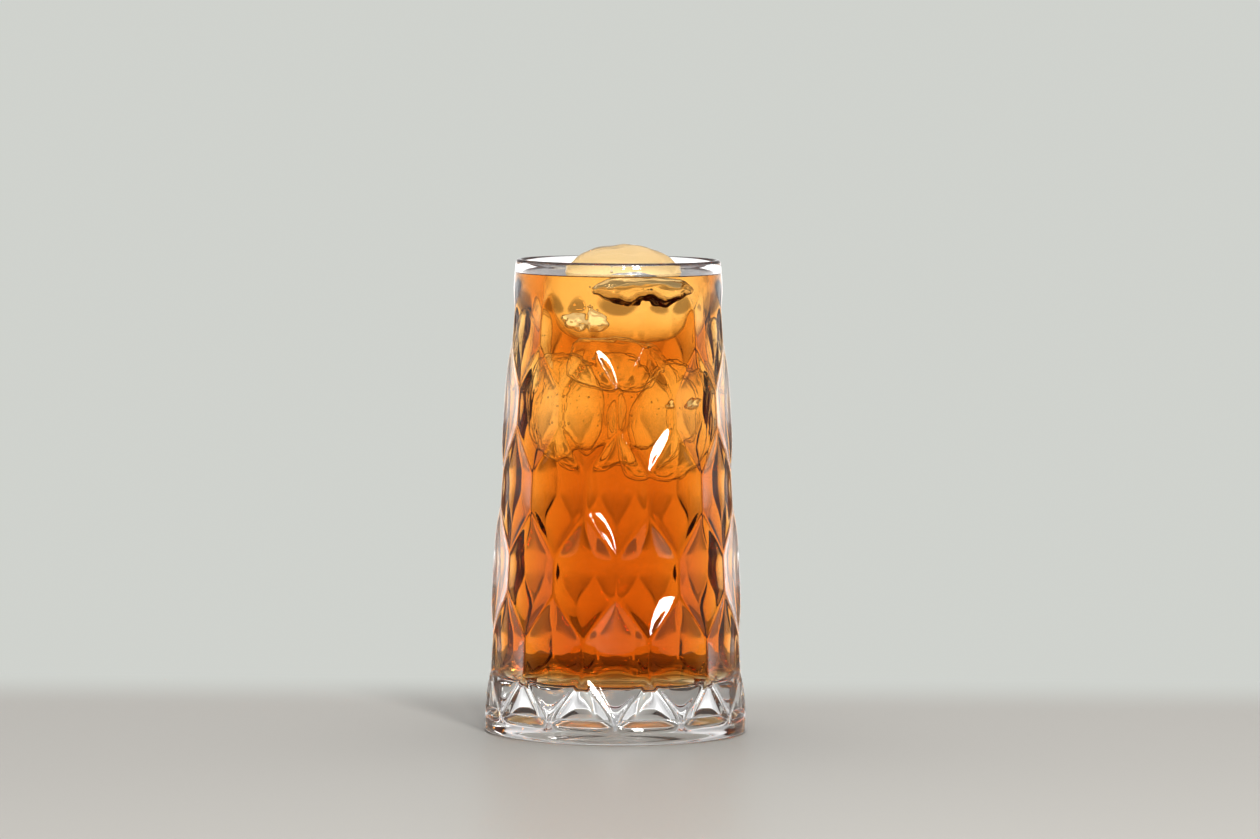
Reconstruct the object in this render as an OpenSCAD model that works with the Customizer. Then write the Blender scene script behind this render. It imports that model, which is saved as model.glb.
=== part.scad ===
// Pressed-glass long-drink tumbler, brimful of iced tea, with a lump of ice at the top.
// The outer wall carries rows of tall hollow leaves with narrow raised ridges between them.
// +Z up, origin at the centre of the foot, on the surface the glass stands on. Millimetres.

/* [Glass] */
// Height from the foot to the top of the lip
glass_h = 150; // [120:1:190]
// Outer diameter at the foot
foot_d = 83.6; // [74:0.1:104]
// Outer diameter at the lip
lip_d = 64.8; // [56:0.1:80]
// How far the side swells out from a straight line, halfway up
side_swell = 0.6; // [0:0.1:2]
// Wall thickness at the lip
lip_wall = 2; // [1.6:0.1:3]
// Rounding of the foot's lower edge
foot_round = 0.8; // [0.4:0.1:1.5]
// Height of the plain band at the foot
foot_band = 5.5; // [3:0.5:9]
// Height of the plain band under the lip
lip_band = 6; // [3:0.5:14]

/* [Well] */
// Thickness of the clear glass under the tea
floor_t = 16.5; // [10:0.5:26]
// Thickness of the wall, ridges included, just above the floor
low_wall = 4.2; // [3.4:0.1:7]
// Rounding between the floor and the wall of the well
well_round = 4; // [2:0.5:12]
// Diameter of the low dome under the foot
punt_d = 66; // [40:1:70]
// Height of the dome under the foot
punt_depth = 3; // [0.6:0.1:5]

/* [Leaves] */
// Leaves around the glass in one row
leaf_count = 12; // [9:1:16]
// Height of one leaf, from tip to tip
leaf_h = 41; // [30:0.5:50]
// Height of the upright ridge between two leaves of a row
neck_h = 10.7; // [6:0.1:14]
// Height of the middle of the lowest row, which the foot band cuts short
first_row_z = 0.5; // [-10:0.1:10]
// Depth of the leaves at the foot
leaf_depth_low = 2.45; // [0.6:0.05:2.6]
// Depth of the leaves at the lip
leaf_depth_high = 1.3; // [0.5:0.05:1.5]
// Steepness of a leaf's sides: 2 is an even bowl, more is flatter in the middle
leaf_power = 2.15; // [2:0.05:4]
// Rounding between the upper and the lower half of a leaf
leaf_belly = 6; // [1:0.5:10]
// Height of the slope between the foot band and the leaves
ledge_h = 2.2; // [1:0.1:5]
// Height over which the leaves fade into the lip band
fade_h = 12; // [6:1:30]

/* [Tea and ice] */
// Distance from the lip down to the tea
head_gap = 4.7; // [4.2:0.1:30]
// How far the ice stands out of the tea
ice_proud = 9.5; // [5:0.1:14]
// Width of the lump of ice, left to right
ice_w = 38; // [20:0.5:44]
// Width of the lump of ice, front to back
ice_d = 33; // [20:0.5:44]
// Height of the lump of ice
ice_h = 32; // [18:0.5:44]
// Distance of the ice to the right of the glass's axis
ice_x = 1.5; // [-4:0.5:4]
// Distance of the ice behind the glass's axis
ice_y = 2; // [-4:0.5:4]

/* [Hidden] */

// Grid of the relief: steps across half a leaf, and up one slanting ridge
STEPS = 4;
// Steps in a quarter circle of the rounded edges
ROUND_STEPS = 3;
// Rings in the dome under the foot, and its sides
DOME_STEPS = 3;
DOME_SIDES = 48;
// Squareness of the melted ice: 2 is an ellipsoid, more is boxier
ICE_POWER = 2.6;
// How far the melted ice strays from an even shape
ICE_WAVE = 0.035;
ICE_AROUND = 20;
ICE_UP = 14;
// The cutters run this far past the faces they open
PAST = 1;
// Flat left on top of the lip between its two roundings
LIP_FLAT = 0.2;

half_leaf = 180 / leaf_count;
row_pitch = (leaf_h + neck_h) / 2;
slant_h = (leaf_h - neck_h) / 2;
ledge_z = foot_band + ledge_h;
lip_band_z = glass_h - lip_band;
fade_z = lip_band_z - fade_h;
lip_round = (lip_wall - LIP_FLAT) / 2;
tea_z = glass_h - head_gap;
mouth_r = lip_d / 2 - lip_wall;

// Smooth step from 0 at low to 1 at high
function ease(x, low, high) = let (t = min(max((x - low) / (high - low), 0), 1)) t * t * (3 - 2 * t);

// x brought to within half a period of 0
function wrap(x, period) = x - period * round(x / period);

// Radius that the ridges and the plain bands reach
function ridge_r(z) =
    let (t = min(max(z / glass_h, 0), 1))
    foot_d / 2 * (1 - t) + lip_d / 2 * t + 4 * side_swell * t * (1 - t);

// Half-width of a leaf at a height above or below its middle: 1 at the neck, 0 at the tips
function leaf_w(v) = min(max((leaf_h / 2 - abs(v)) / slant_h, 0), 1);

// Depth along a leaf's middle: a rounded roof that falls evenly to 0 at the tips
function leaf_fall(v) =
    1 - (norm([v, leaf_belly]) - leaf_belly) / (norm([leaf_h / 2, leaf_belly]) - leaf_belly);

// Hollow of one leaf, from 0 on its ridges to 1 in its middle
function scoop(u, v) =
    let (w = leaf_w(v))
    w > abs(u) ? max(leaf_fall(v), 0) * (1 - pow(abs(u) / w, leaf_power)) : 0;

// Rows stand one half-leaf apart in turn, so each leaf's tips point between two others
function leaves_at(a, z) =
    let (u = a / half_leaf, v = z - first_row_z)
    scoop(wrap(u - 1, 2), wrap(v, 2 * row_pitch)) + scoop(wrap(u, 2), wrap(v - row_pitch, 2 * row_pitch));

function relief(z) =
    (leaf_depth_low + (leaf_depth_high - leaf_depth_low) * z / glass_h)
    * min(max((z - foot_band) / ledge_h, 0), 1) * (1 - ease(z, fade_z, lip_band_z));

function wall_r(a, z) = ridge_r(z) - relief(z) * leaves_at(a, z);

// Rows of the outer wall as [height, inset from the wall]
foot_rows = [for (i = [0 : ROUND_STEPS])
    let (a = 90 * i / ROUND_STEPS) [foot_round * (1 - cos(a)), foot_round * (1 - sin(a))]];
leaf_rows = [for (k = [-1 : ceil(glass_h / row_pitch)], i = [-1 : STEPS])
    let (z = first_row_z + k * row_pitch + (i < 0 ? 0 : neck_h / 2 + slant_h * i / STEPS))
    if (z > ledge_z + 0.5 && z < lip_band_z - 0.5) [z, 0]];
lip_rows = [for (i = [0 : ROUND_STEPS])
    let (a = 90 * i / ROUND_STEPS) [glass_h - lip_round * (1 - sin(a)), lip_round * (1 - cos(a))]];
wall_rows = concat(
    [[-PAST, foot_round]],
    foot_rows,
    [[foot_band, 0], [foot_band + ledge_h / 2, 0], [ledge_z, 0]],
    leaf_rows,
    [[lip_band_z, 0]],
    lip_rows
);
columns = 2 * leaf_count * STEPS;

// True where a slanting ridge climbs to the right, so that the facets fold along it
function climbs(col, z) =
    (floor(col / STEPS) + floor((z - first_row_z) / row_pitch)) % 2 == 0;

// A quarter circle of a profile, from one angle to another about its centre
function arc(centre, r, from, to) = [for (i = [0 : 2 * ROUND_STEPS])
    let (a = from + (to - from) * i / (2 * ROUND_STEPS)) centre + r * [cos(a), sin(a)]];

// The well's side is a straight cone from the floor to the lip
floor_r = ridge_r(floor_t) - low_wall;
lean = atan2(floor_r - mouth_r, glass_h - floor_t);
function well_r(z) = floor_r + (mouth_r - floor_r) * (z - floor_t) / (glass_h - floor_t);

// Centre of the rounding between the floor and the leaning wall
corner = [floor_r - well_round * tan(45 + lean / 2), floor_t + well_round];

module outer_wall() {
    rows = len(wall_rows);
    points = [for (row = wall_rows, c = [0 : columns - 1])
        let (a = c * 360 / columns, r = wall_r(a, row[0]) - row[1]) [r * sin(a), -r * cos(a), row[0]]];
    sides = [for (k = [0 : rows - 2], c = [0 : columns - 1])
        let (
            z = (wall_rows[k][0] + wall_rows[k + 1][0]) / 2,
            d = (c + 1) % columns,
            p = k * columns + c,
            q = k * columns + d
        )
        each climbs(c, z)
            ? [[p, p + columns, q + columns], [p, q + columns, q]]
            : [[p, p + columns, q], [q, p + columns, q + columns]]];
    foot = [for (c = [0 : columns - 1]) c];
    top = [for (c = [columns - 1 : -1 : 0]) (rows - 1) * columns + c];
    polyhedron(points, concat(sides, [foot, top]));
}

// Profile of the well up to a height, with its rounded floor
function well_profile(top_z) = concat(
    [[0, floor_t]],
    arc(corner, well_round, -90, lean),
    [[well_r(top_z), top_z], [0, top_z]]
);

// Profile of the dome under the foot, from the middle out to the bearing ring
dome_profile = concat(
    [[0, -PAST]],
    [for (i = [0 : DOME_STEPS]) let (t = i / DOME_STEPS) [punt_d / 2 * t, punt_depth * (1 - t * t)]],
    [[punt_d / 2, -PAST]]
);

module glass() {
    mouth = concat(
        [[0, glass_h - lip_round - PAST], [well_r(glass_h - lip_round - PAST), glass_h - lip_round - PAST]],
        arc([mouth_r + lip_round, glass_h - lip_round], lip_round, 180, 90),
        [[mouth_r + lip_round, glass_h + PAST], [0, glass_h + PAST]]
    );
    color([0.86, 0.88, 0.88, 0.5])
    difference() {
        outer_wall();
        rotate_extrude($fn = 96) polygon(well_profile(glass_h - lip_round));
        rotate_extrude($fn = 96) polygon(mouth);
        translate([0, 0, -2 * PAST]) cylinder(h = 2 * PAST, d = 2 * foot_d, $fn = 96);
        rotate_extrude($fn = DOME_SIDES) polygon(dome_profile);
    }
}

module tea() {
    color([0.86, 0.42, 0.1])
    difference() {
        rotate_extrude($fn = 96) polygon(well_profile(tea_z));
        ice_lump();
    }
}

module ice() {
    color([0.9, 0.8, 0.72, 0.8])
    ice_lump();
}

// Distance from the lump's middle to its surface, as a share of its half sizes
function melt(d, turn, rise) =
    (1 + ICE_WAVE * (sin(2 * turn + 40) * cos(rise) + 0.7 * sin(3 * turn - 2 * rise) * cos(rise)))
    / pow(pow(abs(d[0]), ICE_POWER) + pow(abs(d[1]), ICE_POWER) + pow(abs(d[2]), ICE_POWER), 1 / ICE_POWER);

module ice_lump() {
    rings = [for (k = [1 : ICE_UP - 1], c = [0 : ICE_AROUND - 1])
        let (
            rise = -90 + 180 * k / ICE_UP,
            turn = 360 * c / ICE_AROUND,
            d = [cos(rise) * cos(turn), cos(rise) * sin(turn), sin(rise)]
        )
        d * melt(d, turn, rise)];
    sides = [for (k = [0 : ICE_UP - 3], c = [0 : ICE_AROUND - 1])
        let (d = (c + 1) % ICE_AROUND, p = 1 + k * ICE_AROUND + c, q = 1 + k * ICE_AROUND + d)
        each [[p, p + ICE_AROUND, q + ICE_AROUND], [p, q + ICE_AROUND, q]]];
    last = 1 + (ICE_UP - 1) * ICE_AROUND;
    ends = [for (c = [0 : ICE_AROUND - 1])
        let (d = (c + 1) % ICE_AROUND)
        each [[0, 1 + c, 1 + d], [last, last - ICE_AROUND + d, last - ICE_AROUND + c]]];
    unit = concat([[0, 0, -1]], rings, [[0, 0, 1]]);
    middle = [ice_x, ice_y, tea_z + ice_proud - ice_h / 2];
    points = [for (p = unit) middle + [p[0] * ice_w / 2, p[1] * ice_d / 2, p[2] * ice_h / 2]];
    polyhedron(points, concat(sides, ends));
}

glass();
tea();
ice();
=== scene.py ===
# %% [markdown]
# # A pressed-glass tumbler of iced tea
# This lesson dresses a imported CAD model: a tall tumbler with rows of hollow leaves pressed into its wall,
# filled almost to the brim with brewed tea and ice. Everything is in metres, in the frame of the CAD model,
# with +Z up. The frame could be read by hand from the model file.

# %% Load the frame
import math

import bpy
import numpy as np
from mathutils import Euler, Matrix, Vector, noise


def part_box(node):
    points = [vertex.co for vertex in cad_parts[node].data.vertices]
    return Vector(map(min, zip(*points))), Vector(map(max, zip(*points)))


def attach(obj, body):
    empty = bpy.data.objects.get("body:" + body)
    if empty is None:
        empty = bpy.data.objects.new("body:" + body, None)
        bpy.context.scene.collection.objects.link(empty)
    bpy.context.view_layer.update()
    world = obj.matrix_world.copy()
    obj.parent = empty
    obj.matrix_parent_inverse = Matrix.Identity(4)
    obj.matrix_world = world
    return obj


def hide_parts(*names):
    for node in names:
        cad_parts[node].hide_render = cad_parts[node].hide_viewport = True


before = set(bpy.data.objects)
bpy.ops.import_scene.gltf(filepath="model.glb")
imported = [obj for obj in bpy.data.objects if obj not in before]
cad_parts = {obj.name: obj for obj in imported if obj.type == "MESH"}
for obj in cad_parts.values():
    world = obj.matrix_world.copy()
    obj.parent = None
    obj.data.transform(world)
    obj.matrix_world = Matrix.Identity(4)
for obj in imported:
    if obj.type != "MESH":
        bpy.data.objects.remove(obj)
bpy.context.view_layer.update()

MM = 0.001

# %% [markdown]
# ## The camera
# The glass is seen from just above its lip, from nearly two metres away, through a long lens, so its sides
# hardly converge. A camera could be aimed with a tracking constraint. A plain turn about three named angles
# is used instead, because it says exactly how the view pitches, turns and rolls.

# %% Camera
CAMERA_DISTANCE = 1.777
CAMERA_HEIGHT = 0.224
LENS_MM = 160.2
PITCH, TURN, ROLL = math.radians(-4.02), math.radians(-0.13), math.radians(0.39)

camera = bpy.data.objects.new("camera", bpy.data.cameras.new("camera"))
camera.data.lens = LENS_MM
camera.data.sensor_width = 36
camera.location = (0, -CAMERA_DISTANCE, CAMERA_HEIGHT)
aim = Euler((math.pi / 2 + PITCH, 0, TURN)).to_matrix() @ Euler((0, 0, ROLL)).to_matrix()
camera.rotation_euler = aim.to_euler()
bpy.context.scene.collection.objects.link(camera)
bpy.context.scene.camera = camera
print("camera at", [round(c, 3) for c in camera.location], "lens", LENS_MM, "mm")

# %% [markdown]
# ## Colours and nodes
# Colours are written as sRGB hex values, as a paint chart gives them, and one function turns them into
# the linear values that shaders work in. A shader tree could be built by hand, line by line. One small helper
# that adds a node with its settings and links keeps each material short enough to read at a glance.


# %% Helpers for materials
def linear(hex_colour):
    """sRGB hex to linear RGBA."""
    channels = [int(hex_colour[i:i + 2], 16) / 255 for i in (1, 3, 5)]
    return [c / 12.92 if c <= 0.04045 else ((c + 0.055) / 1.055) ** 2.4 for c in channels] + [1.0]


def add(tree, kind, links=None, **settings):
    """Adds a node. settings are its properties or its inputs' values; links are input to output."""
    node = tree.nodes.new("ShaderNode" + kind)
    for name, value in settings.items():
        if hasattr(node, name):
            setattr(node, name, value)
        else:
            node.inputs[name.replace("_", " ")].default_value = value
    for name, source in (links or {}).items():
        tree.links.new(source, node.inputs[name])
    return node


def new_material(name):
    """A material with an empty tree and its output node."""
    material = bpy.data.materials.new(name)
    material.use_nodes = True
    material.node_tree.nodes.clear()
    return material, material.node_tree, material.node_tree.nodes.new("ShaderNodeOutputMaterial")


WHITE, BLACK = linear("#FFFFFF"), linear("#000000")
print("linear mid grey:", [round(c, 3) for c in linear("#808080")])

# %% [markdown]
# ## Pressed soda-lime glass
# The tumbler is clear soda-lime glass, pressed in an iron mould and then fire-polished, so its surface is
# smooth but very slightly wavy. Its IOR is 1.52. A glass shader could be mixed by hand from refraction and
# gloss. The Principled shader with full transmission does both. Where tea wets the inside of the glass,
# hardly any light is mirrored, because tea bends light almost as much as glass does. There the specular tint
# is black, which takes the mirror image away, except at grazing angles, and leaves the bending as it is.


# %% Glass
# The mould leaves waves about 9 mm across that bend reflections a little
WAVE_WIDTH, WAVE_HEIGHT = 9 * MM, 0.15 * MM


def pressed_glass(name, mirror):
    material, tree, out = new_material(name)
    place = add(tree, "TexCoord")
    waves = add(tree, "TexNoise", {"Vector": place.outputs["Object"]}, Scale=1 / WAVE_WIDTH, Detail=1.0)
    bump = add(tree, "Bump", {"Height": waves.outputs["Fac"]}, Strength=0.1, Distance=WAVE_HEIGHT)
    glass = add(tree, "BsdfPrincipled", {"Normal": bump.outputs["Normal"]}, Transmission_Weight=1.0,
                IOR=1.52, Roughness=0.0, Base_Color=WHITE, Specular_Tint=mirror)
    tree.links.new(glass.outputs["BSDF"], out.inputs["Surface"])
    return material


dry_glass = pressed_glass("pressed_soda_lime_glass", WHITE)
wet_glass = pressed_glass("pressed_glass_wetted_by_tea", BLACK)
print("made", dry_glass.name, "and", wet_glass.name)

# %% [markdown]
# ## Brewed black tea
# Tea is a clear, thin liquid: IOR 1.333, no haze to speak of, and all of its colour comes from depth. Where
# the way through it is long it is deep red-brown, and where ice takes its place it is light and golden. A
# painted colour could never do both, so the surface is left white and an absorbing volume does the work: it
# takes a little red, some green and nearly all the blue. Nearly all of the tea's surface lies against glass
# or ice, so its specular tint is black too, and its free top mirrors only at grazing angles.

# %% Tea
# Absorption per metre is density times one minus colour: about 11 for red, 33 for green, 80 for blue. These
# are linear shares of light and not a surface's colour, so they aren't written as hex.
TEA_PASSES, TEA_DENSITY = (0.865, 0.61, 0.06, 1), 85.0


def brewed_tea():
    material, tree, out = new_material("brewed_black_tea")
    tea = add(tree, "BsdfPrincipled", Transmission_Weight=1.0, IOR=1.333, Roughness=0.0,
              Base_Color=WHITE, Specular_Tint=BLACK)
    depth = add(tree, "VolumeAbsorption", Color=TEA_PASSES, Density=TEA_DENSITY)
    tree.links.new(tea.outputs["BSDF"], out.inputs["Surface"])
    tree.links.new(depth.outputs["Volume"], out.inputs["Volume"])
    return material


tea_material = brewed_tea()
print("made", tea_material.name)

# %% [markdown]
# ## Clear ice
# The ice has melted smooth and wet. Its IOR is 1.31, so close to the tea's that under the surface only its
# lack of colour and a faint outline show it. There the IOR is raised to 1.33, because the full step
# drew harder outlines than ice in tea has. Its dimples could be a bump in the material, but a bump bends
# light on one side of the film between ice and tea and not on the other, so they are left to the meshes.


# %% Ice
def clear_ice(name, ior, mirror):
    material, tree, out = new_material(name)
    ice = add(tree, "BsdfPrincipled", Transmission_Weight=1.0, IOR=ior, Roughness=0.0,
              Base_Color=WHITE, Specular_Tint=mirror)
    tree.links.new(ice.outputs["BSDF"], out.inputs["Surface"])
    return material


dry_ice = clear_ice("clear_melting_ice", 1.31, WHITE)
wet_ice = clear_ice("clear_ice_under_tea", 1.33, BLACK)
print("made", dry_ice.name, "and", wet_ice.name)

# %% [markdown]
# ## Measuring the frame
# The tumbler's own sizes are read from the CAD pieces: how far their points reach from the axis at a height.
# They could be typed in again, but then a change to the CAD model would leave the looks behind.


# %% Sizes from the frame
def reach(node, low, high):
    """Largest distance from the axis of a CAD node's points between two heights."""
    points = np.array([v.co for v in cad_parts[node].data.vertices])
    chosen = points[(points[:, 2] >= low) & (points[:, 2] <= high)]
    return float(np.hypot(chosen[:, 0], chosen[:, 1]).max())


NEAR = 0.02 * MM
glass_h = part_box("glass")[1].z
tea_low, tea_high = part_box("tea")
ice_low, ice_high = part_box("ice")
floor_z, tea_z = tea_low.z, tea_high.z
foot_r = reach("glass", 0.5 * MM, 2 * MM)
lip_r = reach("glass", glass_h - 2 * MM, glass_h)
side_swell = reach("glass", 0.48 * glass_h, 0.52 * glass_h) - (foot_r + lip_r) / 2
well_r_top = reach("tea", tea_z - NEAR, tea_z + NEAR)
well_r_low = reach("tea", floor_z, floor_z + 8 * MM)
print("glass", round(glass_h, 4), "foot", round(foot_r, 5), "lip", round(lip_r, 5))
print("its sides swell out by", round(side_swell, 5))
print("well from", round(well_r_low, 5), "to", round(well_r_top, 5), "tea level", round(tea_z, 5))

# %% [markdown]
# ## The leaf relief
# Each leaf is a shallow scoop between narrow ridges: full width beside the neck, then two slants to a tip.
# Across, it is close to a parabola, and flatter in the panels near the foot. Along, it is deepest halfway up
# and shallows steadily towards both tips. The scoops of two staggered rows never overlap, so the two rows can
# simply be added. Fire-polishing has rounded the ridges' crests. Twelve leaves stand in a row, and every
# other row is half a leaf farther round. A displacement texture could draw this, but the export drops it, so
# the relief is worked out as true geometry.

# %% Sizes of the leaves
LEAF_COUNT = 12
LEAF_H = 41 * MM
NECK_H = 10.7 * MM
FIRST_ROW_Z = 0.5 * MM
DEPTH_LOW, DEPTH_HIGH = 2.45 * MM, 1.3 * MM
# The power of a leaf's curve across: 2 is a parabola, and more makes its middle flatter. It changes from the
# panels at the foot to the leaves between two heights.
LEAF_POWER, FOOT_POWER = 2.15, 4.0
PANELS_END, LEAVES_START = 12 * MM, 26 * MM
# How far above and below its middle a leaf keeps most of its depth
LEAF_BELLY = 6 * MM
# How much the crests are rounded, and the share of it that is given back to the depth
CREST, CREST_BACK = 0.18 * MM, 0.7
# Ridges swing into the necks in a slight S: the share of a smooth step in their straight slant
SWING = 0.35
FOOT_BAND, LEDGE_H = 5.5 * MM, 2.2 * MM
LIP_BAND, FADE_H = 6 * MM, 12 * MM
HALF_LEAF = math.pi / LEAF_COUNT
ROW_PITCH = (LEAF_H + NECK_H) / 2
SLANT_H = (LEAF_H - NECK_H) / 2
print("a leaf is", round(2 * HALF_LEAF * foot_r / MM, 1), "mm wide at the foot and", LEAF_H / MM, "mm tall")

# %% [markdown]
# ## The depth at any point of the wall
# The leaves could be drawn one by one and set round the wall. One function that gives the depth at any angle
# and height is shorter, since the leaves repeat round the wall and up it.


# %% Relief of the outer wall
def ease(x, low, high):
    """Smooth step from 0 at low to 1 at high."""
    t = np.clip((x - low) / (high - low), 0, 1)
    return t * t * (3 - 2 * t)


def wrap(x, period):
    """x brought to within half a period of 0."""
    return x - period * np.round(x / period)


def swing(t):
    """How far a ridge has crossed, from 0 to 1, a share t of the way along its slant."""
    return (1 - SWING) * t + SWING * ease(t, 0, 1)


def scoop(across, up, power):
    """One leaf's hollow: 0 on its ridges, 1 in its middle."""
    width = 1 - swing(np.clip((np.abs(up) - NECK_H / 2) / SLANT_H, 0, 1))
    inside = width > np.abs(across)
    share = np.abs(across) / np.where(inside, width, 1)
    fall = 1 - (np.hypot(up, LEAF_BELLY) - LEAF_BELLY) / (math.hypot(LEAF_H / 2, LEAF_BELLY) - LEAF_BELLY)
    return np.where(inside, np.maximum(fall, 0) * (1 - share ** power), 0)


def ridge_r(z):
    """Radius of the ridges and of the plain bands."""
    t = np.clip(z / glass_h, 0, 1)
    return foot_r * (1 - t) + lip_r * t + 4 * side_swell * t * (1 - t)


def leaf_depth(turn, z):
    """How far the outer wall lies inside the ridges."""
    u, v = turn / HALF_LEAF, z - FIRST_ROW_Z
    power = FOOT_POWER + (LEAF_POWER - FOOT_POWER) * ease(z, PANELS_END, LEAVES_START)
    leaves = scoop(wrap(u - 1, 2), wrap(v, 2 * ROW_PITCH), power)
    leaves = leaves + scoop(wrap(u, 2), wrap(v - ROW_PITCH, 2 * ROW_PITCH), power)
    depth = DEPTH_LOW + (DEPTH_HIGH - DEPTH_LOW) * z / glass_h + CREST_BACK * CREST
    rounded = np.sqrt((depth * leaves) ** 2 + CREST ** 2) - CREST
    top = glass_h - LIP_BAND
    return rounded * np.clip((z - FOOT_BAND) / LEDGE_H, 0, 1) * (1 - ease(z, top - FADE_H, top))


middle_row_z = FIRST_ROW_Z + 3 * ROW_PITCH
print("a leaf at half height is", round(float(leaf_depth(0.0, middle_row_z)) / MM, 2), "mm deep")

# %% [markdown]
# ## Rings into a solid
# The tumbler, the tea and the ice are all stacks of rings between two end points. A lathe modifier would do
# for a plain glass, but not for one whose wall changes as it goes round. So one function joins rings of
# points into a closed mesh, and it can fold each small face along the ridge that crosses it, which keeps
# ridges sharp.


# %% Mesh helpers
def ring_faces(rows, columns, climbs=None):
    """Triangles between rings of points, closed by a point at each end. climbs picks each face's diagonal."""
    k, c = np.meshgrid(np.arange(rows - 1), np.arange(columns), indexing="ij")
    d = (c + 1) % columns
    p, q = 1 + k * columns + c, 1 + k * columns + d
    up = np.ones(p.shape, bool) if climbs is None else climbs
    first = np.where(up[..., None], np.stack([p, q, q + columns], -1),
                     np.stack([p, q, p + columns], -1))
    second = np.where(up[..., None], np.stack([p, q + columns, p + columns], -1),
                      np.stack([q, q + columns, p + columns], -1))
    ring = np.arange(columns)
    after = (ring + 1) % columns
    last = 1 + rows * columns
    start = np.stack([np.zeros(columns, int), 1 + after, 1 + ring], -1)
    end = np.stack([np.full(columns, last), last - columns + ring, last - columns + after], -1)
    return np.concatenate([first.reshape(-1, 3), second.reshape(-1, 3), start, end])


def mesh_object(name, points, faces, material):
    """A smooth-shaded object from points and triangles."""
    mesh = bpy.data.meshes.new(name)
    mesh.vertices.add(len(points))
    mesh.vertices.foreach_set("co", np.asarray(points, float).ravel())
    mesh.loops.add(faces.size)
    mesh.loops.foreach_set("vertex_index", np.asarray(faces, np.int32).ravel())
    mesh.polygons.add(len(faces))
    mesh.polygons.foreach_set("loop_start", np.arange(0, faces.size, 3, dtype=np.int32))
    mesh.update(calc_edges=True)
    mesh.validate()
    mesh.polygons.foreach_set("use_smooth", np.ones(len(faces), bool))
    mesh.materials.append(material)
    obj = bpy.data.objects.new(name, mesh)
    bpy.context.scene.collection.objects.link(obj)
    return obj


def arc(centre, radius, start, end, steps):
    """Points [r, z] of an arc in a profile, in degrees."""
    angles = np.radians(np.linspace(start, end, steps + 1))
    return [[centre[0] + radius * math.cos(a), centre[1] + radius * math.sin(a)] for a in angles]


print("three rings of eight points make", len(ring_faces(3, 8)), "triangles")

# %% [markdown]
# ## The well
# The well is the hollow that holds the tea: a leaning side, a rounded corner and a flat floor. The glass and
# the tea share it. It could be written once for each, but then the two could drift apart. One function gives
# the outline for both, and the tea asks for it a little larger.

# %% Outline of the well
WELL_ROUND = 4 * MM
CORNER_STEPS, FLOOR_RINGS = 10, 8
well_slope = (well_r_top - well_r_low) / (tea_z - floor_z - WELL_ROUND)


def well_r(z):
    """Radius of the well's leaning side."""
    return well_r_low + well_slope * (z - floor_z - WELL_ROUND)


def well_profile(top_z, grow=0.0, rows=14):
    """[r, z] from the top of the well down to its floor, moved outward by grow."""
    lean = math.degrees(math.atan(-well_slope))
    side_z = floor_z + WELL_ROUND * (1 + math.sin(math.radians(lean)))
    centre = [well_r(side_z) - WELL_ROUND * math.cos(math.radians(lean)), floor_z + WELL_ROUND]
    side = [[well_r(z) + grow, z] for z in np.linspace(top_z, side_z, rows)]
    corner = arc(centre, WELL_ROUND + grow, lean, -90, CORNER_STEPS)
    floor = [[r, floor_z - grow] for r in np.linspace(centre[0], 0, FLOOR_RINGS)[1:-1]]
    return side + corner[1:] + floor


print("the well's outline has", len(well_profile(tea_z)), "points")

# %% [markdown]
# ## The outline of the tumbler
# One outline runs from the middle of the underside, which is a low dome, out over the bearing ring, up the
# pressed wall, over the rounded lip and down the well to the middle of its floor. The rings of the wall could
# be evenly spaced, but then the ridges would cut across them and look jagged. They stand exactly where the
# ridges start, end and cross, eighteen to a slant, so every ridge runs through points of the mesh.

# %% Outline of the tumbler
STEPS = 18
NECK_STEPS = 10
ROWS = range(-1, 7)
FOOT_ROUND, LIP_FLAT = 0.8 * MM, 0.2 * MM
PUNT_R, PUNT_DEPTH = 33 * MM, 3.0 * MM
PUNT_RINGS, PUNT_RIM = 12, 0.4 * MM
ROUND_STEPS = 6
BAND_RINGS = [2.5 * MM, 4 * MM]
LEDGE_RINGS = 7
# The least distance between the leaves' rings and those of the plain bands
RING_GAP = 0.2 * MM
# How far the tea climbs the wall, and so how far up the glass is wetted
MENISCUS = 0.5 * MM
lip_wall = lip_r - well_r(glass_h)
lip_round = (lip_wall - LIP_FLAT) / 2
underside = [[PUNT_R * t, PUNT_DEPTH * (1 - t * t)] for t in np.linspace(0, 1, PUNT_RINGS)[1:]]
underside += [[PUNT_R + PUNT_RIM, 0], [(PUNT_R + foot_r) / 2, 0]]
foot = arc([foot_r - FOOT_ROUND, FOOT_ROUND], FOOT_ROUND, -90, 0, ROUND_STEPS)
along = np.linspace(0, 1, 400)
crossings = np.interp(np.arange(STEPS) / STEPS, swing(along), along)
slants = [FIRST_ROW_Z + k * ROW_PITCH + NECK_H / 2 + SLANT_H * t for k in ROWS for t in crossings]
neck_places = range(-NECK_STEPS // 2, NECK_STEPS // 2)
necks = [FIRST_ROW_Z + k * ROW_PITCH + NECK_H * i / NECK_STEPS for k in ROWS for i in neck_places]
ledge = list(np.linspace(FOOT_BAND, FOOT_BAND + LEDGE_H, LEDGE_RINGS))
leaves_from = FOOT_BAND + LEDGE_H + RING_GAP
leaves_to = glass_h - LIP_BAND - RING_GAP
heights = [z for z in sorted(slants + necks) if leaves_from < z < leaves_to]
lip_band = [glass_h - LIP_BAND, glass_h - LIP_BAND / 2]
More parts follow.
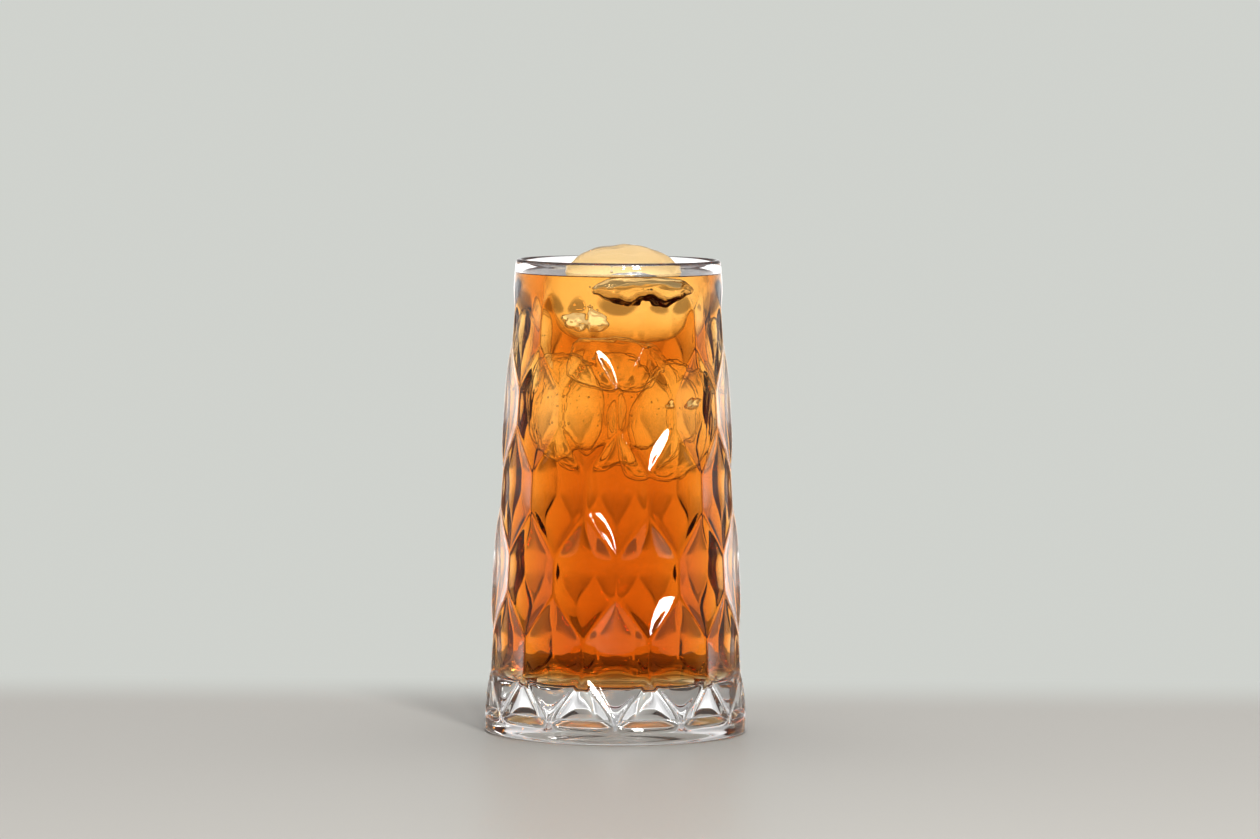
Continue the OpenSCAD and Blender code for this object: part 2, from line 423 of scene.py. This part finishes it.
# The wall's radius changes as it goes round, so it is left open here and worked out ring by ring
wall = [[None, z] for z in BAND_RINGS + ledge + heights + lip_band]
lip = arc([lip_r - lip_round, glass_h - lip_round], lip_round, 0, 90, ROUND_STEPS)
lip += arc([lip_r - lip_wall + lip_round, glass_h - lip_round], lip_round, 90, 180, ROUND_STEPS)
well = [[well_r(glass_h - 2 * lip_round), glass_h - 2 * lip_round]] + well_profile(tea_z + MENISCUS)
profile = underside + foot + wall + lip + well
print("the outline has", len(profile), "points; wall at the lip", round(lip_wall / MM, 2), "mm")

# %% [markdown]
# ## The tumbler
# The outline is turned round the axis into one closed surface, and the leaves are pressed into its wall. The
# CAD piece has the same form with fewer faces. It could be smoothed, but that would round the ridges away, so
# it is replaced: its facets would flash in clear glass. The faces that the tea touches get the wetted glass.

# %% Tumbler mesh
COLUMNS = 2 * LEAF_COUNT * STEPS
turn = 2 * math.pi * np.arange(COLUMNS) / COLUMNS
rings = []
for r, z in profile:
    radius = np.full(COLUMNS, r) if r is not None else ridge_r(z) - leaf_depth(turn, z)
    rings.append(np.stack([radius * np.sin(turn), -radius * np.cos(turn), np.full(COLUMNS, z)], -1))
middle_z = np.array([(a[1] + b[1]) / 2 for a, b in zip(profile, profile[1:])])
strip = np.arange(COLUMNS) // STEPS
climbs = (strip[None, :] + np.floor((middle_z[:, None] - FIRST_ROW_Z) / ROW_PITCH).astype(int)) % 2 == 1
points = np.concatenate([[[0, 0, PUNT_DEPTH]], *rings, [[0, 0, floor_z]]])
tumbler = mesh_object("tumbler", points, ring_faces(len(profile), COLUMNS, climbs), dry_glass)
tumbler.data.materials.append(wet_glass)
face_middle = np.zeros(3 * len(tumbler.data.polygons))
tumbler.data.polygons.foreach_get("center", face_middle)
face_middle = face_middle.reshape(-1, 3)
inside = np.hypot(face_middle[:, 0], face_middle[:, 1]) < well_r(face_middle[:, 2]) + NEAR
wetted = inside & (face_middle[:, 2] > floor_z - NEAR) & (face_middle[:, 2] < tea_z + MENISCUS)
tumbler.data.polygons.foreach_set("material_index", wetted.astype(np.int32))
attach(tumbler, "root")
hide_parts("glass")
print("tumbler:", len(tumbler.data.polygons), "triangles,", int(wetted.sum()), "of them wetted")

# %% [markdown]
# ## Lumps of ice
# Ice from a tray melts into rounded lumps. A cube with a bevel looks machined, and a sculpted lump can't be
# written down. A rounded box in polar form, pushed in and out by two sizes of soft noise, is closed, smooth
# and different for every seed. Bubbles, flakes and pockets of air in the ice are the same shapes turned
# inside out, which is how a renderer tells air from ice.

# %% Ice shapes
AROUND, UP = 96, 60
# Swells over the whole of a lump and dimples on them: how many to its size, and the dimples' share
SWELLS, DIMPLES, DIMPLE_SHARE = 1.6, 4.5, 0.3
BUBBLE_LEAST, BUBBLE_MOST = 0.3, 0.9


def lump(middle, size, seed, power=2.6, tilt=(0, 0, 0), swell=0.06, around=AROUND, up=UP):
    """Points and faces of a melted lump of ice."""
    rise = np.radians(np.linspace(-90, 90, up + 1))[1:-1]
    turns = 2 * math.pi * np.arange(around) / around
    r, t = np.meshgrid(rise, turns, indexing="ij")
    ways = np.stack([np.cos(r) * np.cos(t), np.cos(r) * np.sin(t), np.sin(r)], -1).reshape(-1, 3)
    ways = np.concatenate([[[0, 0, -1]], ways, [[0, 0, 1]]])
    out = (np.abs(ways) ** power).sum(1) ** (-1 / power)
    coarse = np.array([noise.noise(Vector(w) * SWELLS + Vector((seed, 0, 0))) for w in ways])
    fine = np.array([noise.noise(Vector(w) * DIMPLES + Vector((0, seed, 0))) for w in ways])
    pushed = out * (1 + swell * coarse + DIMPLE_SHARE * swell * fine)
    shape = ways * pushed[:, None] * np.array(size) / 2
    turned = shape @ np.array(Euler([math.radians(a) for a in tilt]).to_matrix()).T
    return turned + np.array(middle), ring_faces(len(rise), around)


def shrunk(points, by):
    """The same closed shape with its surface drawn in by a distance."""
    middle = points.mean(0)
    away = points - middle
    far = np.linalg.norm(away, axis=1)[:, None]
    return middle + away * (1 - by / far)


def joined(shapes):
    """Several shapes as one set of points and faces."""
    starts = np.cumsum([0] + [len(p) for p, _ in shapes])
    every_face = [f + n for (_, f), n in zip(shapes, starts)]
    return np.concatenate([p for p, _ in shapes]), np.concatenate(every_face)


def inside_out(shape):
    """A shape as a hollow: the same points with their faces turned over."""
    return shape[0], shape[1][:, ::-1]


def bubbles(middle, spread, count, seed):
    """Small round bubbles of air, scattered about a middle."""
    chance = np.random.default_rng(seed)
    found = []
    for k in range(count):
        place = np.array(middle) + np.array(spread) * chance.uniform(-1, 1, 3)
        wide = chance.uniform(BUBBLE_LEAST, BUBBLE_MOST) * MM
        found.append(inside_out(lump(place, (wide, wide, wide), k, power=2.0, swell=0, around=10, up=6)))
    return joined(found)


print("one lump has", 2 * AROUND * (UP - 1), "triangles")

# %% [markdown]
# ## The floating lump
# The top lump breaks the surface and stands above the lip. It could be placed by hand, but it has to match
# the CAD piece that it replaces, so it is fitted to that piece's box.

# %% Skin of the floating ice
FLOAT_SEED = 11.3
float_middle = (ice_low + ice_high) / 2
float_size = ice_high - ice_low
outer, outer_faces = lump((0, 0, 0), (1, 1, 1), FLOAT_SEED, swell=0.05)
low, high = outer.min(0), outer.max(0)
outer = (outer - (low + high) / 2) / (high - low) * np.array(float_size) + np.array(float_middle)
print("the lump measures", [round(c / MM, 1) for c in float_size], "mm")

# %% [markdown]
# ## Air in the floating lump
# Ice like this often holds air: a long pocket just under the surface that shines like silver, a thin slanting
# flake below it, and fine bubbles. The pocket could be a smooth egg, but a real one is ragged underneath, so
# soft noise pulls that side about. The flake is tilted so that it mirrors the light above.

# %% Air in the floating ice
POCKET_SIZE = (25 * MM, 9 * MM, 9 * MM)
POCKET_MIDDLE = (6 * MM, -4 * MM, tea_z - 5 * MM)
# The underside's flatness, its ragged height, how many dents to a metre, and where they die out along x
POCKET_FLAT, RAGGED_H, RAGGED_PER_M, RAGGED_END = 0.8, 1.2 * MM, 260, 12 * MM
pocket, pocket_faces = lump((0, 0, 0), POCKET_SIZE, 4.2, power=2.0, swell=0.10, around=72, up=40)
ragged = np.array([noise.noise(Vector(p) * RAGGED_PER_M) for p in pocket])
dents = RAGGED_H * ragged * (1 - (pocket[:, 0] / RAGGED_END) ** 2)
pocket[:, 2] = np.where(pocket[:, 2] < 0, pocket[:, 2] * POCKET_FLAT + dents, pocket[:, 2])
pocket += np.array(POCKET_MIDDLE)

FLAKE_SIZE = (10 * MM, 12 * MM, 1.4 * MM)
FLAKE_MIDDLE = (-9 * MM, -2 * MM, tea_z - 14.5 * MM)
flake = lump(FLAKE_MIDDLE, FLAKE_SIZE, 7.7, power=2.4, tilt=(32, 4, 5), swell=0.3, around=36, up=20)
BUBBLE_SPREAD, BUBBLE_COUNT = (0.28, 0.28, 0.2), 16
specks = bubbles(float_middle, np.array(float_size) * BUBBLE_SPREAD, BUBBLE_COUNT, 2)
print("air in the lump:", BUBBLE_COUNT, "bubbles, a flake and a pocket", POCKET_SIZE[0] / MM, "mm long")

# %% [markdown]
# ## The floating lump as one piece
# The skin and all the air in it make one object, so that the two sides of the ice are told apart. The faces
# under the tea's level get the ice that the tea wets, and those above it and round the air get dry ice.

# %% Floating ice
points, faces = joined([(outer, outer_faces), inside_out((pocket, pocket_faces)), inside_out(flake), specks])
floating_ice = mesh_object("floating_ice", points, faces, dry_ice)
floating_ice.data.materials.append(wet_ice)
under = [int(max(points[v][2] for v in f) < tea_z and i < len(outer_faces)) for i, f in enumerate(faces)]
floating_ice.data.polygons.foreach_set("material_index", under)
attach(floating_ice, "root")
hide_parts("ice")
print("floating ice:", len(faces), "triangles, top at", round(outer[:, 2].max(), 4))

# %% [markdown]
# ## Sunk ice
# Below it the lumps crowd the upper third of the glass, and lie against the wall with a film of tea
# between. They could be dropped in by a physics simulation. Six listed lumps give the same
# crowd, in the places where it shows, and stay the same every time. Fine bubbles and one flake of air
# lie inside them.

# %% Sunk ice
SUNK_SWELL = 0.16
# Places and sizes are in millimetres, tilts in degrees
#    x, y, z, width, depth, height, tilt about x, y and z, seed
SUNK = [
    (-14.0, -8.0, 104.0, 25, 13, 33, 8, -14, 20, 1.7),
    (15.0, -6.0, 99.0, 26, 13, 36, -10, 12, -12, 5.1),
    (0.0, 15.0, 101.0, 34, 10, 33, 12, 6, 5, 8.6),
    (-23.5, 3.0, 121.5, 11, 17, 27, -4, 3, 0, 3.3),
    (26.0, 1.0, 119.5, 8.5, 16, 24, 5, -4, 0, 6.4),
    (-1.0, -22.5, 118.0, 26, 8.5, 17, 3, 5, 0, 9.9),
]
sunk_shapes = []
for x, y, z, w, d, h, rx, ry, rz, seed in SUNK:
    middle, size = np.array([x, y, z]) * MM, np.array([w, d, h]) * MM
    sunk_shapes.append(lump(middle, size, seed, tilt=(rx, ry, rz), swell=SUNK_SWELL))
sunk_flake_middle = np.array([19, -6.3, 105]) * MM
sunk_flake_size = (7 * MM, 7 * MM, 1 * MM)
airy = [inside_out(lump(sunk_flake_middle, sunk_flake_size, 5.3, power=2.4, tilt=(32, -6, -6), swell=0.3,
                        around=36, up=20))]
SUNK_SPREAD, SUNK_BUBBLES, FIRST_SEED = 0.22, 12, 20
for k, (x, y, z, w, d, h, *_) in enumerate(SUNK):
    spread = np.array([w, d, h]) * MM * SUNK_SPREAD
    airy.append(bubbles(np.array([x, y, z]) * MM, spread, SUNK_BUBBLES, FIRST_SEED + k))
points, faces = joined(sunk_shapes + airy)
sunk_ice = mesh_object("sunk_ice", points, faces, wet_ice)
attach(sunk_ice, "root")
spare = min(float((well_r(p[:, 2]) - np.hypot(p[:, 0], p[:, 1])).min()) for p, _ in sunk_shapes)
print("sunk ice:", len(sunk_ice.data.polygons), "triangles, least film of tea", round(spare / MM, 2), "mm")

# %% [markdown]
# ## The tea
# The tea fills the well up to its level and climbs the wall a little, as any drink does. It could end just at
# the wall, but a film of air would show there and shine like a mirror. So it reaches 0.15 mm into the wall,
# and light passes straight from glass to tea. Where ice stands in it the tea has a matching hollow, drawn in
# by 0.12 mm. The floating lump breaks the surface, so its hollow is cut with a boolean.

# %% Tea mesh
INTO_WALL = 0.15 * MM
INTO_ICE = 0.12 * MM
TEA_COLUMNS = 192
TOP_RINGS, SIDE_RINGS = 8, 36
# The climb dies away from the wall: its rings' distances and its rate of fading, in millimetres
CLIMB_RINGS, CLIMB_FADES = (0, 0.3, 0.7, 1.3, 2.2, 3.5), 0.9
FLAT_ENDS, SIDE_STARTS = 4.5 * MM, 0.5 * MM
tea_r = well_r(tea_z) + INTO_WALL
climb = [[tea_r - s * MM, tea_z + MENISCUS * math.exp(-s / CLIMB_FADES)] for s in CLIMB_RINGS]
flat_top = [[r, tea_z] for r in np.linspace(0, well_r(tea_z) - FLAT_ENDS, TOP_RINGS)[1:]]
tea_profile = flat_top + climb[::-1] + well_profile(tea_z - SIDE_STARTS, INTO_WALL, SIDE_RINGS)
turn = 2 * math.pi * np.arange(TEA_COLUMNS) / TEA_COLUMNS
rings = [np.stack([r * np.sin(turn), -r * np.cos(turn), np.full(TEA_COLUMNS, z)], -1) for r, z in tea_profile]
points = np.concatenate([[[0, 0, tea_z]], *rings, [[0, 0, floor_z - INTO_WALL]]])
tea_faces = ring_faces(len(tea_profile), TEA_COLUMNS)[:, ::-1]
tea = mesh_object("tea_fill", points, tea_faces, tea_material)

cutter = mesh_object("cutter", shrunk(outer, INTO_ICE), outer_faces, wet_ice)
cut = tea.modifiers.new("cut", "BOOLEAN")
cut.operation, cut.solver, cut.object = "DIFFERENCE", "EXACT", cutter
bpy.context.view_layer.update()
cut_mesh = bpy.data.meshes.new_from_object(tea.evaluated_get(bpy.context.evaluated_depsgraph_get()))
tea.modifiers.clear()
tea.data = cut_mesh
bpy.data.objects.remove(cutter)
print("tea after the cut:", len(tea.data.polygons), "faces")

# %% [markdown]
# ## Hollows for the sunk ice
# Each hollow is the lump's own surface, drawn in and turned inside out. It is joined to the tea as a loose
# shell. A boolean could cut the same shape, but it would take longer, and these hollows touch nothing.

# %% Hollows in the tea
points, faces = joined([inside_out((shrunk(shape, INTO_ICE), sides)) for shape, sides in sunk_shapes])
hollows = mesh_object("hollows", points, faces, tea_material)
with bpy.context.temp_override(active_object=tea, selected_editable_objects=[tea, hollows]):
    bpy.ops.object.join()
tea.data.materials.clear()
tea.data.materials.append(tea_material)
tea.data.polygons.foreach_set("use_smooth", np.ones(len(tea.data.polygons), bool))
tea.data.set_sharp_from_angle(angle=math.radians(40))
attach(tea, "root")
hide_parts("tea")
print("tea:", len(tea.data.polygons), "faces")

# %% [markdown]
# ## The table
# The glass stands on a plain pale table of honed stone. A table as wide as a room would be the plain way, but
# tea seen through glass takes its light from below the horizon, and a big grey table would leave it dull. So
# the table is small, and towards its back it turns into the backdrop's tone, where light can come past it.

# %% Table
BACKDROP = linear("#D0D2CE")
TABLE_SIDE = 0.28
TABLE_FRONT, TABLE_BACK = -0.27, 0.15
FADE_FROM, FADE_TO = 0.05, 0.145


def table_stone():
    """Pale honed stone round the glass, which turns into the backdrop's even tone at the back."""
    material, tree, out = new_material("pale_honed_table")
    stone = add(tree, "BsdfPrincipled", Base_Color=linear("#BDBAB4"), Roughness=0.42, IOR=1.5)
    place = add(tree, "TexCoord")
    away = add(tree, "SeparateXYZ", {"Vector": place.outputs["Object"]})
    share = add(tree, "MapRange", {"Value": away.outputs["Y"]}, interpolation_type="SMOOTHSTEP",
                From_Min=FADE_FROM, From_Max=FADE_TO)
    glow = add(tree, "Emission", Color=BACKDROP, Strength=1.0)
    both = add(tree, "MixShader", {"Fac": share.outputs["Result"]})
    # Both of its shader sockets have the same name, so they are told apart by number
    tree.links.new(stone.outputs["BSDF"], both.inputs[1])
    tree.links.new(glow.outputs["Emission"], both.inputs[2])
    tree.links.new(both.outputs["Shader"], out.inputs["Surface"])
    return material


corners = [(x, y, -NEAR) for x, y in ((-TABLE_SIDE, TABLE_FRONT), (TABLE_SIDE, TABLE_FRONT),
                                      (TABLE_SIDE, TABLE_BACK), (-TABLE_SIDE, TABLE_BACK))]
table_mesh = bpy.data.meshes.new("table")
table_mesh.from_pydata(corners, [], [[0, 1, 2, 3]])
table_mesh.materials.append(table_stone())
table = bpy.data.objects.new("table", table_mesh)
bpy.context.scene.collection.objects.link(table)
print("table from", TABLE_FRONT, "to", TABLE_BACK, "m")

# %% [markdown]
# ## Softboxes
# Clear glass shows itself by what it bends and mirrors, so the shape of a light matters as much as its
# strength. One round lamp would give dots. Two tall softboxes, in front, to the right and above, draw the
# crisp white bands along the leaves, a narrow one and a broad one. A big dim one overhead rounds the lip and
# the ice.

# %% Softboxes
# For each tall softbox: degrees round from the viewer, and width in metres
KEYS = ((6.0, 0.07), (20.5, 0.26))
# Their height, distance and degrees above the glass, and how strong they are for their size
KEY_H, KEY_AWAY, KEY_RISE, KEY_WATTS_PER_M2 = 0.68, 1.7, 23.5, 105.0
TOP_SIZE, TOP_HEIGHT, TOP_BACK, TOP_WATTS = 1.8, 1.9, 0.1, 6.0
AIM_Z = 0.08


def softbox(name, place, width, height, watts):
    """A flat light that faces the middle of the glass and isn't seen itself."""
    light = bpy.data.objects.new(name, bpy.data.lights.new(name, "AREA"))
    light.data.shape = "RECTANGLE"
    light.data.size, light.data.size_y = width, height
    light.data.energy = watts
    light.location = place
    light.rotation_euler = (Vector((0, 0, AIM_Z)) - Vector(place)).to_track_quat("-Z", "Y").to_euler()
    light.visible_camera = False
    bpy.context.scene.collection.objects.link(light)


flat = KEY_AWAY * math.cos(math.radians(KEY_RISE))
key_z = AIM_Z + KEY_AWAY * math.sin(math.radians(KEY_RISE))
for i, (round_degrees, width) in enumerate(KEYS):
    side = math.radians(round_degrees)
    place = (flat * math.sin(side), -flat * math.cos(side), key_z)
    softbox("key_softbox_" + "ab"[i], place, width, KEY_H, KEY_WATTS_PER_M2 * width * KEY_H)
softbox("top_softbox", (0, TOP_BACK, TOP_HEIGHT), TOP_SIZE, TOP_SIZE, TOP_WATTS)

# %% [markdown]
# ## The room
# The room is soft grey light that changes with direction. A picture of a real room could be used, but plain
# greys are enough, and each can be set by itself. The backdrop side is bright, most of all below the horizon,
# where the light in the tea comes from. The side in front of the glass is dark, so that no veil of mirrored
# light lies over the tea. What is seen past the glass is one even tone, whatever lights the glass, so the
# glass looks darker when it is seen from its back.

# %% Room
# On a Mix node set to colours, the sockets of its two colours and of its result
MIX_FIRST, MIX_SECOND, MIX_RESULT = 6, 7, 2
world = bpy.data.worlds.new("studio")
bpy.context.scene.world = world
world.use_nodes = True
tree = world.node_tree
tree.nodes.clear()
way = add(tree, "TexCoord")
parts = add(tree, "SeparateXYZ", {"Vector": way.outputs["Generated"]})


def ramp(axis, low, high):
    """0 to 1 as the direction's share along an axis goes from low to high."""
    return add(tree, "MapRange", {"Value": parts.outputs[axis]}, interpolation_type="SMOOTHSTEP",
               From_Min=low, From_Max=high).outputs["Result"]


def blend(share, first, second):
    """Mixes two greys, each a number or another mix."""
    node = add(tree, "Mix", {"Factor": share}, data_type="RGBA")
    for socket, grey in ((MIX_FIRST, first), (MIX_SECOND, second)):
        if isinstance(grey, float):
            node.inputs[socket].default_value = (grey, grey, grey, 1)
        else:
            tree.links.new(grey, node.inputs[socket])
    return node.outputs[MIX_RESULT]


# Each line's two greys are for the low and the high end of its ramp. Behind the glass: below the horizon,
# above it, and both together. Then the sides, the dark front, and the ceiling over all of them.
below = blend(ramp("Z", -0.1, -0.3), 1.6, 1.05)
above = blend(ramp("Z", 0.04, 0.2), 0.75, 0.45)
backdrop = blend(ramp("Z", 0.04, -0.03), above, below)
sides = blend(ramp("Y", 0.35, 0.8), 0.55, backdrop)
room = blend(ramp("Y", -0.3, 0.1), 0.04, sides)
ceiling = blend(ramp("Y", 0.0, 0.45), 0.6, 1.0)
studio = blend(ramp("Z", 0.4, 0.62), room, ceiling)
ray = add(tree, "LightPath")
seen = add(tree, "Mix", {"Factor": ray.outputs["Is Camera Ray"]}, data_type="RGBA")
tree.links.new(studio, seen.inputs[MIX_FIRST])
seen.inputs[MIX_SECOND].default_value = BACKDROP
light = add(tree, "Background", {"Color": seen.outputs[MIX_RESULT]}, Strength=1.0)
out = tree.nodes.new("ShaderNodeOutputWorld")
tree.links.new(light.outputs["Background"], out.inputs["Surface"])
print("the room is mixed by", len(tree.nodes), "nodes")

# %% [markdown]
# ## Tone and bounces
# A camera's tone curve adds a little contrast. It could be added to the finished picture. Here gamma does it,
# and exposure then puts the backdrop's tone back to about where it was. Light crosses a dozen surfaces and
# more on its way through glass, tea and ice, so it is allowed more bounces than usual: a path that runs out
# of them ends black.

# %% Tone and bounces
scene = bpy.context.scene
scene.view_settings.view_transform = "Standard"
scene.view_settings.gamma = 0.8
scene.view_settings.exposure = 0.13
scene.cycles.max_bounces = 32
scene.cycles.transmission_bounces = 32
scene.cycles.glossy_bounces = 8
print("bounces:", scene.cycles.max_bounces, "in all,", scene.cycles.glossy_bounces, "mirrored")

# %% [markdown]
# ## Finish
# At the end the scene is brought up to date.

# %% Finish
bpy.context.view_layer.update()
